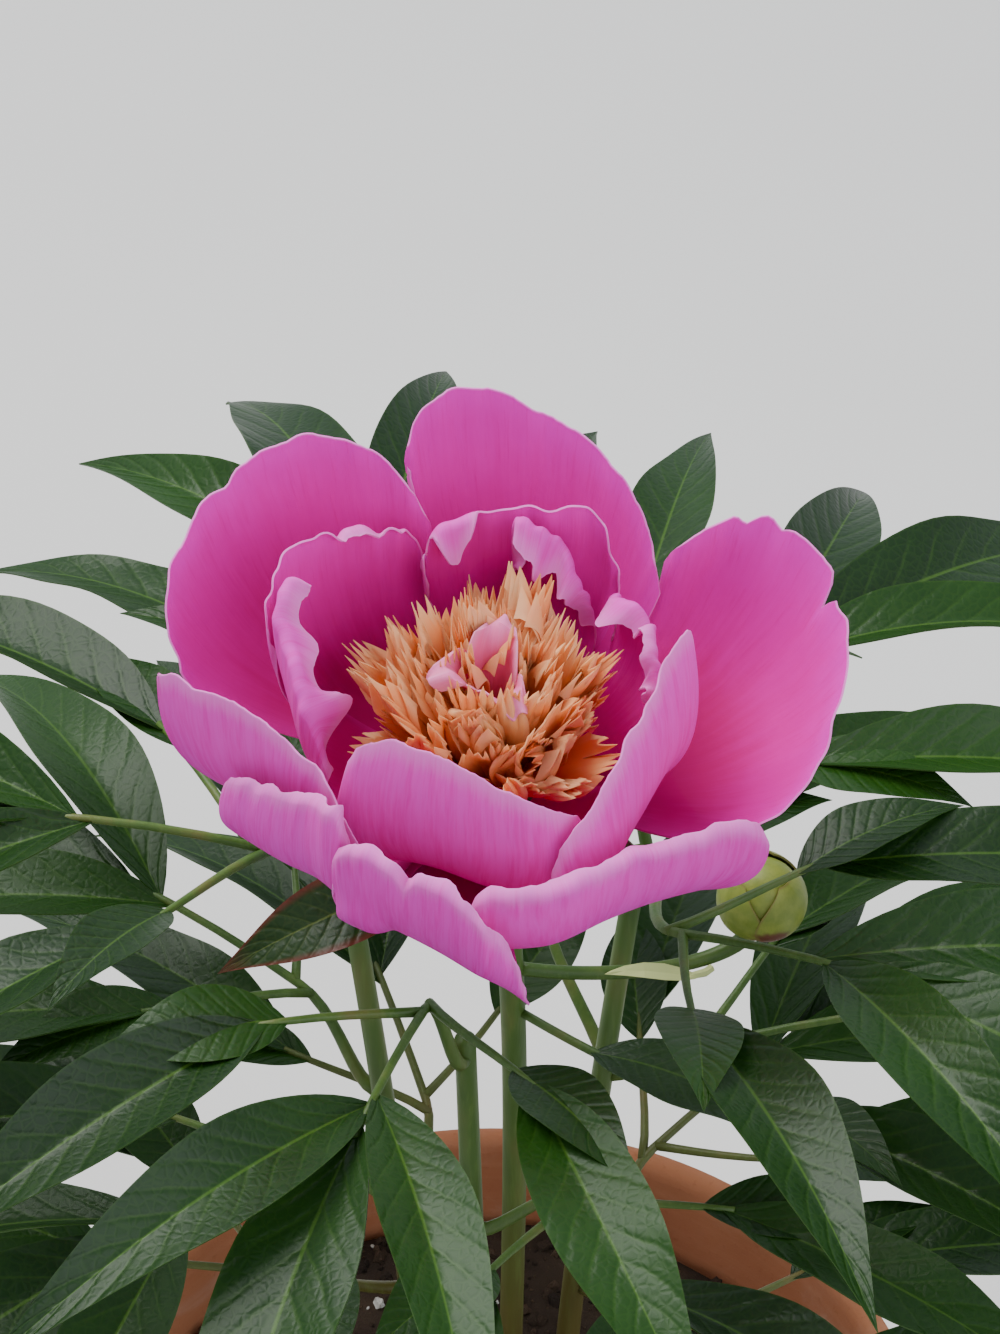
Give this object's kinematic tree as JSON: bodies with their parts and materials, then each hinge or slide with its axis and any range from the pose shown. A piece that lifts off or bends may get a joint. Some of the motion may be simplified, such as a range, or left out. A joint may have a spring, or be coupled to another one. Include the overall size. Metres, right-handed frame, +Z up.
{
  "type": "potted peony plant",
  "caption": "Peony in a round clay pot: one open pink flower with a ball of orange petal-like stamens, a side bud and tiers of dark compound leaves.",
  "frame": {"origin": "centre of the pot's base, on the surface it stands on", "axes": "+Z up along the pot's axis; -Y is the side the flower leans and faces towards; +X is to the right seen from there"},
  "size_m": [0.4593, 0.4439, 0.5417],
  "materials": {
    "clay": "unglazed fired clay, dry and matt",
    "soil": "damp crumbly potting soil",
    "leaf": "living leaf, slightly waxy",
    "stem": "smooth green stem flushed with red",
    "petal": "soft petal, satin, slightly translucent",
    "staminode": "soft petal-like stamens, matt",
    "carpelode": "soft petal, satin",
    "bud": "closed green bud, satin"
  },
  "bodies": {
    "root": {"bract_left": "leaf", "bract_right": "leaf", "bud": "bud", "bud_bract": "bud", "bud_sepal_left": "bud", "bud_sepal_rear": "bud", "bud_sepal_right": "bud", "bud_stem": "stem", "carpelode_1": "carpelode", "carpelode_2": "carpelode", "carpelode_3": "carpelode", "flower_stem": "stem", "inner_petal_front": "petal", "inner_petal_left_fold": "petal", "inner_petal_left_rear": "petal", "inner_petal_rear": "petal", "inner_petal_rear_right": "petal", "inner_petal_right_front": "petal", "inner_petal_right_small": "petal", "leaf_high_1": "leaf", "leaf_high_2": "leaf", "leaf_high_3": "leaf", "leaf_high_4": "leaf", "leaf_high_5": "leaf", "leaf_low_1": "leaf", "leaf_low_2": "leaf", "leaf_low_3": "leaf", "leaf_low_4": "leaf", "leaf_low_5": "leaf", "leaf_mid_1": "leaf", "leaf_mid_2": "leaf", "leaf_mid_3": "leaf", "leaf_mid_4": "leaf", "leaf_mid_5": "leaf", "leafy_stem_front": "stem", "leafy_stem_left": "stem", "leafy_stem_right": "stem", "petal_front_right": "petal", "petal_front_tip": "petal", "petal_left_front": "petal", "petal_left_lower": "petal", "petal_left_rear": "petal", "petal_rear": "petal", "petal_right": "petal", "pot": "clay", "potting_soil": "soil", "receptacle": "stem", "sepal_1": "leaf", "sepal_2": "leaf", "sepal_3": "leaf", "sepal_4": "leaf", "sepal_5": "leaf", "staminodes_1": "staminode", "staminodes_2": "staminode", "staminodes_3": "staminode", "staminodes_4": "staminode"}
  },
  "joints": []
}
